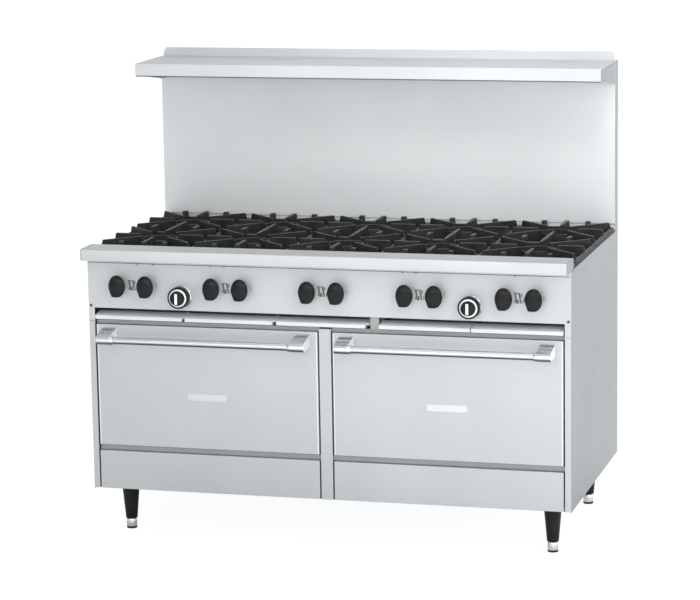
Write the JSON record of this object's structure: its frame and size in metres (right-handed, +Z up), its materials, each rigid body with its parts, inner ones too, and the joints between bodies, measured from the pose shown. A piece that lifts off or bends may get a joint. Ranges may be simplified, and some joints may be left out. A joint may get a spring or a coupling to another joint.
{
  "type": "commercial gas range",
  "caption": "Floor-standing restaurant gas range: open burners with cast grates over two drop-door ovens, knob panel with crumb trays below, backguard and high shelf on four legs.",
  "frame": {"origin": "on the floor, under the middle of the range's box: halfway along its width and halfway between the door handles and the rear face", "axes": "+X to the right as the cook faces the range, -Y towards the cook, +Z up"},
  "size_m": [1.5, 0.871, 1.448],
  "materials": {
    "stainless": "fine brushed, satin",
    "plain_steel": "mill finish",
    "chrome": "bright",
    "cast_iron": "matt, as cast, with worn edges",
    "black_plastic": "satin moulded",
    "black_enamel": "black enamel",
    "oven_enamel": "speckled grey enamel"
  },
  "bodies": {
    "root": {"chassis": "plain_steel", "left_side_panel": "stainless", "right_side_panel": "stainless", "front_frame": "plain_steel", "valve_panel": "stainless", "front_rail": "stainless", "top_frame": "black_enamel", "backguard": "stainless", "high_shelf": "stainless", "burners_front_row": "cast_iron", "burners_rear_row": "cast_iron", "oven_liner_left": "oven_enamel", "oven_rack_left": "chrome", "kick_panel_left": "stainless", "thermostat_bezel_left": "chrome", "oven_liner_right": "oven_enamel", "oven_rack_right": "chrome", "kick_panel_right": "stainless", "thermostat_bezel_right": "chrome", "leg_front_left": "black_plastic", "leg_front_right": "black_plastic", "leg_rear_left": "black_plastic", "leg_rear_right": "black_plastic"},
    "door_left": {"door_panel_left": "stainless", "door_liner_left": "oven_enamel", "door_handle_left": "chrome"},
    "door_right": {"door_panel_right": "stainless", "door_liner_right": "oven_enamel", "door_handle_right": "chrome"},
    "foot_front_left": {"foot_front_left": "chrome"},
    "foot_front_right": {"foot_front_right": "chrome"},
    "foot_rear_left": {"foot_rear_left": "chrome"},
    "foot_rear_right": {"foot_rear_right": "chrome"},
    "burner_knob_front_1": {"burner_knob_front_1": "black_plastic"},
    "burner_knob_rear_1": {"burner_knob_rear_1": "black_plastic"},
    "burner_knob_front_2": {"burner_knob_front_2": "black_plastic"},
    "burner_knob_rear_2": {"burner_knob_rear_2": "black_plastic"},
    "burner_knob_front_3": {"burner_knob_front_3": "black_plastic"},
    "burner_knob_rear_3": {"burner_knob_rear_3": "black_plastic"},
    "burner_knob_front_4": {"burner_knob_front_4": "black_plastic"},
    "burner_knob_rear_4": {"burner_knob_rear_4": "black_plastic"},
    "burner_knob_front_5": {"burner_knob_front_5": "black_plastic"},
    "burner_knob_rear_5": {"burner_knob_rear_5": "black_plastic"},
    "thermostat_knob_left": {"thermostat_knob_left": "black_plastic"},
    "thermostat_knob_right": {"thermostat_knob_right": "black_plastic"},
    "grate_front_1": {"grate_front_1": "cast_iron"},
    "grate_front_2": {"grate_front_2": "cast_iron"},
    "grate_front_3": {"grate_front_3": "cast_iron"},
    "grate_front_4": {"grate_front_4": "cast_iron"},
    "grate_front_5": {"grate_front_5": "cast_iron"},
    "grate_rear_1": {"grate_rear_1": "cast_iron"},
    "grate_rear_2": {"grate_rear_2": "cast_iron"},
    "grate_rear_3": {"grate_rear_3": "cast_iron"},
    "grate_rear_4": {"grate_rear_4": "cast_iron"},
    "grate_rear_5": {"grate_rear_5": "cast_iron"},
    "crumb_tray_1": {"crumb_tray_1": "stainless"},
    "crumb_tray_2": {"crumb_tray_2": "stainless"},
    "crumb_tray_3": {"crumb_tray_3": "stainless"},
    "crumb_tray_4": {"crumb_tray_4": "stainless"},
    "crumb_tray_5": {"crumb_tray_5": "stainless"}
  },
  "joints": [
    {"name": "door_hinge_left", "type": "hinge", "parent": "root", "child": "door_left", "pos_m": [-0.375, -0.3515, 0.287], "axis": [1, 0, 0], "range_deg": [0, 90], "stiffness_Nm_per_rad": 3, "springref_deg": -34.38},
    {"name": "door_hinge_right", "type": "hinge", "parent": "root", "child": "door_right", "pos_m": [0.375, -0.3515, 0.287], "axis": [1, 0, 0], "range_deg": [0, 90], "stiffness_Nm_per_rad": 3, "springref_deg": -34.38},
    {"name": "level_front_left", "type": "slide", "parent": "root", "child": "foot_front_left", "axis": [0, 0, -1], "range_m": [0, 0.03]},
    {"name": "level_front_right", "type": "slide", "parent": "root", "child": "foot_front_right", "axis": [0, 0, -1], "range_m": [0, 0.03]},
    {"name": "level_rear_left", "type": "slide", "parent": "root", "child": "foot_rear_left", "axis": [0, 0, -1], "range_m": [0, 0.03]},
    {"name": "level_rear_right", "type": "slide", "parent": "root", "child": "foot_rear_right", "axis": [0, 0, -1], "range_m": [0, 0.03]},
    {"name": "turn_front_1", "type": "hinge", "parent": "root", "child": "burner_knob_front_1", "pos_m": [-0.645, -0.3595, 0.796], "axis": [0, -1, 0], "range_deg": [0, 90]},
    {"name": "turn_rear_1", "type": "hinge", "parent": "root", "child": "burner_knob_rear_1", "pos_m": [-0.555, -0.3595, 0.796], "axis": [0, -1, 0], "range_deg": [0, 90]},
    {"name": "turn_front_2", "type": "hinge", "parent": "root", "child": "burner_knob_front_2", "pos_m": [-0.345, -0.3595, 0.796], "axis": [0, -1, 0], "range_deg": [0, 90]},
    {"name": "turn_rear_2", "type": "hinge", "parent": "root", "child": "burner_knob_rear_2", "pos_m": [-0.255, -0.3595, 0.796], "axis": [0, -1, 0], "range_deg": [0, 90]},
    {"name": "turn_front_3", "type": "hinge", "parent": "root", "child": "burner_knob_front_3", "pos_m": [-0.045, -0.3595, 0.796], "axis": [0, -1, 0], "range_deg": [0, 90]},
    {"name": "turn_rear_3", "type": "hinge", "parent": "root", "child": "burner_knob_rear_3", "pos_m": [0.045, -0.3595, 0.796], "axis": [0, -1, 0], "range_deg": [0, 90]},
    {"name": "turn_front_4", "type": "hinge", "parent": "root", "child": "burner_knob_front_4", "pos_m": [0.255, -0.3595, 0.796], "axis": [0, -1, 0], "range_deg": [0, 90]},
    {"name": "turn_rear_4", "type": "hinge", "parent": "root", "child": "burner_knob_rear_4", "pos_m": [0.345, -0.3595, 0.796], "axis": [0, -1, 0], "range_deg": [0, 90]},
    {"name": "turn_front_5", "type": "hinge", "parent": "root", "child": "burner_knob_front_5", "pos_m": [0.555, -0.3595, 0.796], "axis": [0, -1, 0], "range_deg": [0, 90]},
    {"name": "turn_rear_5", "type": "hinge", "parent": "root", "child": "burner_knob_rear_5", "pos_m": [0.645, -0.3595, 0.796], "axis": [0, -1, 0], "range_deg": [0, 90]},
    {"name": "thermostat_left", "type": "hinge", "parent": "root", "child": "thermostat_knob_left", "pos_m": [-0.45, -0.3595, 0.766], "axis": [0, -1, 0], "range_deg": [0, 270]},
    {"name": "thermostat_right", "type": "hinge", "parent": "root", "child": "thermostat_knob_right", "pos_m": [0.45, -0.3595, 0.766], "axis": [0, -1, 0], "range_deg": [0, 270]},
    {"name": "lift_front_1", "type": "slide", "parent": "root", "child": "grate_front_1", "axis": [0, 0, 1], "range_m": [0, 0.15]},
    {"name": "lift_front_2", "type": "slide", "parent": "root", "child": "grate_front_2", "axis": [0, 0, 1], "range_m": [0, 0.15]},
    {"name": "lift_front_3", "type": "slide", "parent": "root", "child": "grate_front_3", "axis": [0, 0, 1], "range_m": [0, 0.15]},
    {"name": "lift_front_4", "type": "slide", "parent": "root", "child": "grate_front_4", "axis": [0, 0, 1], "range_m": [0, 0.15]},
    {"name": "lift_front_5", "type": "slide", "parent": "root", "child": "grate_front_5", "axis": [0, 0, 1], "range_m": [0, 0.15]},
    {"name": "lift_rear_1", "type": "slide", "parent": "root", "child": "grate_rear_1", "axis": [0, 0, 1], "range_m": [0, 0.15]},
    {"name": "lift_rear_2", "type": "slide", "parent": "root", "child": "grate_rear_2", "axis": [0, 0, 1], "range_m": [0, 0.15]},
    {"name": "lift_rear_3", "type": "slide", "parent": "root", "child": "grate_rear_3", "axis": [0, 0, 1], "range_m": [0, 0.15]},
    {"name": "lift_rear_4", "type": "slide", "parent": "root", "child": "grate_rear_4", "axis": [0, 0, 1], "range_m": [0, 0.15]},
    {"name": "lift_rear_5", "type": "slide", "parent": "root", "child": "grate_rear_5", "axis": [0, 0, 1], "range_m": [0, 0.15]},
    {"name": "tray_slide_1", "type": "slide", "parent": "root", "child": "crumb_tray_1", "axis": [0, -1, 0], "range_m": [0, 0.5]},
    {"name": "tray_slide_2", "type": "slide", "parent": "root", "child": "crumb_tray_2", "axis": [0, -1, 0], "range_m": [0, 0.5]},
    {"name": "tray_slide_3", "type": "slide", "parent": "root", "child": "crumb_tray_3", "axis": [0, -1, 0], "range_m": [0, 0.5]},
    {"name": "tray_slide_4", "type": "slide", "parent": "root", "child": "crumb_tray_4", "axis": [0, -1, 0], "range_m": [0, 0.5]},
    {"name": "tray_slide_5", "type": "slide", "parent": "root", "child": "crumb_tray_5", "axis": [0, -1, 0], "range_m": [0, 0.5]}
  ]
}
